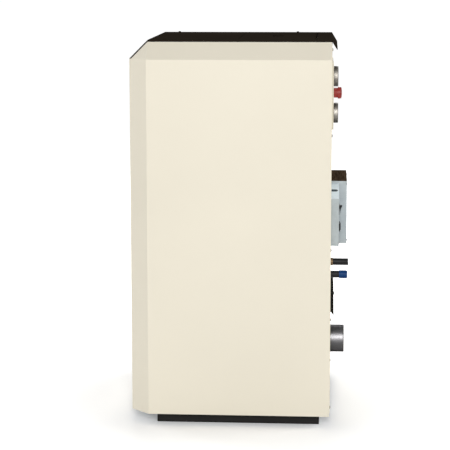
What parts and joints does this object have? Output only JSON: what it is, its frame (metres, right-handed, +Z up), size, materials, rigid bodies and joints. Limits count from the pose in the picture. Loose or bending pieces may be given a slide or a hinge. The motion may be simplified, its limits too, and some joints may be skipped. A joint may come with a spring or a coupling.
{
  "type": "wood pellet boiler stove",
  "caption": "Free-standing wood pellet boiler stove: bevelled sheet casing, glazed fire door, ash drawer, hopper lid, smoke fan, flue stub and water fittings at the back.",
  "frame": {"origin": "centre of the casing's footprint, on the floor", "axes": "+Z up, -Y towards the fire door, +Y towards the flue at the back, +X towards the door hinge"},
  "size_m": [0.58, 0.65, 1.0826],
  "materials": {
    "beige_paint": "smooth satin powder coat",
    "black_paint": "fine-textured dark powder coat",
    "door_paint": "matt heat-resistant paint",
    "plinth_steel": "satin",
    "galvanised": "spangled zinc",
    "boiler_steel": "matt primer",
    "bare_steel": "mill finish",
    "cast_iron": "rough",
    "refractory": "chalky",
    "rope": "braided glass rope",
    "glass": "clear",
    "chrome": "polished",
    "aluminium": "as cast",
    "copper": "drawn copper",
    "brass": "machined",
    "black_plastic": "fine grain",
    "red_plastic": "moulded",
    "blue_plastic": "moulded",
    "red_paint": "gloss",
    "board_green": "solder mask",
    "screw_zinc": "zinc plated"
  },
  "bodies": {
    "boiler": {"plinth_rails": "plinth_steel", "floor_plate": "galvanised", "right_side_panel": "beige_paint", "left_side_panel": "beige_paint", "front_panels": "beige_paint", "top_cover": "black_paint", "rear_panel": "beige_paint", "case_screws": "screw_zinc", "hinge_pins": "bare_steel", "water_jacket": "boiler_steel", "firebox": "boiler_steel", "boiler_front_plate": "boiler_steel", "smoke_tubes": "boiler_steel", "inner_supports": "bare_steel", "hearth_plate": "cast_iron", "linings": "refractory", "burner_pot": "cast_iron", "igniter": "chrome", "smoke_hood": "galvanised", "smoke_box": "galvanised", "fan_housing": "aluminium", "drive_motors": "black_paint", "flue_outlet": "aluminium", "air_pipe": "galvanised", "intake_cowl": "black_paint", "hopper": "galvanised", "auger_tube": "bare_steel", "pellet_chute": "bare_steel", "water_pipes": "copper", "pipe_sleeves": "black_plastic", "return_plug": "blue_plastic", "circulation_pump": "red_paint", "expansion_vessel": "red_paint", "gauge_plate": "beige_paint", "gauges": "chrome", "gauge_glasses": "glass", "safety_valve_body": "brass", "control_box": "galvanised", "control_box_lid": "black_paint", "circuit_boards": "board_green", "switch_box": "galvanised", "mains_fittings": "black_plastic", "console_bezel": "black_plastic"},
    "fire_door": {"door_frame": "door_paint", "door_glass": "glass", "glass_retainer": "bare_steel", "door_rope": "rope"},
    "door_handle": {"latch_handle": "bare_steel"},
    "ash_drawer": {"ash_drawer_front": "beige_paint", "ash_pan": "galvanised"},
    "lid": {"hopper_lid": "black_paint"},
    "scraper": {"scraper_comb": "bare_steel"},
    "auger": {"auger_screw": "bare_steel"},
    "smoke_fan": {"fan_impeller": "bare_steel"},
    "safety_cap": {"valve_cap": "red_plastic"},
    "temperature_pointer": {"temperature_needle": "black_plastic"},
    "pressure_pointer": {"pressure_needle": "black_plastic"},
    "mains_rocker": {"rocker": "black_plastic"},
    "power_button": {"button_power": "black_plastic"},
    "mode_button": {"button_mode": "black_plastic"}
  },
  "joints": [
    {"name": "fire_door_hinge", "type": "hinge", "parent": "boiler", "child": "fire_door", "pos_m": [0.196, -0.274, 0.525], "axis": [0, 0, 1], "range_deg": [0, 105]},
    {"name": "door_handle_turn", "type": "hinge", "parent": "fire_door", "child": "door_handle", "pos_m": [-0.166, -0.28, 0.525], "axis": [0, 1, 0], "range_deg": [0, 60]},
    {"name": "ash_drawer_slide", "type": "slide", "parent": "boiler", "child": "ash_drawer", "axis": [0, -1, 0], "range_m": [0, 0.23]},
    {"name": "lid_hinge", "type": "hinge", "parent": "boiler", "child": "lid", "pos_m": [0, 0.232, 1.075], "axis": [-1, 0, 0], "range_deg": [0, 80]},
    {"name": "scraper_pull", "type": "slide", "parent": "boiler", "child": "scraper", "axis": [0, 0, 1], "range_m": [0, 0.04]},
    {"name": "auger_turn", "type": "hinge", "parent": "boiler", "child": "auger", "pos_m": [0, 0.189, 0.642], "axis": [1, 0, 0], "continuous": true},
    {"name": "smoke_fan_spin", "type": "hinge", "parent": "boiler", "child": "smoke_fan", "pos_m": [0, 0.19, 0.163], "axis": [1, 0, 0], "continuous": true},
    {"name": "safety_cap_twist", "type": "hinge", "parent": "boiler", "child": "safety_cap", "pos_m": [0.14, 0.29, 0.9275], "axis": [0, 1, 0], "range_deg": [0, 90]},
    {"name": "temperature_pointer_turn", "type": "hinge", "parent": "boiler", "child": "temperature_pointer", "pos_m": [0.035, 0.29, 0.861], "axis": [0, -1, 0], "range_deg": [0, 260], "stiffness_Nm_per_rad": 0.001},
    {"name": "pressure_pointer_turn", "type": "hinge", "parent": "boiler", "child": "pressure_pointer", "pos_m": [0.035, 0.29, 0.966], "axis": [0, -1, 0], "range_deg": [0, 260], "stiffness_Nm_per_rad": 0.001},
    {"name": "mains_rocker_tilt", "type": "hinge", "parent": "boiler", "child": "mains_rocker", "pos_m": [0.0814, 0.302, 0.587], "axis": [1, 0, 0], "range_deg": [0, 18]},
    {"name": "power_button_press", "type": "slide", "parent": "boiler", "child": "power_button", "axis": [0, 0.7071, -0.7071], "range_m": [0, 0.0009], "stiffness_N_per_m": 400, "springref_m": -0.0005},
    {"name": "mode_button_press", "type": "slide", "parent": "boiler", "child": "mode_button", "axis": [0, 0.7071, -0.7071], "range_m": [0, 0.0009], "stiffness_N_per_m": 400, "springref_m": -0.0005}
  ]
}
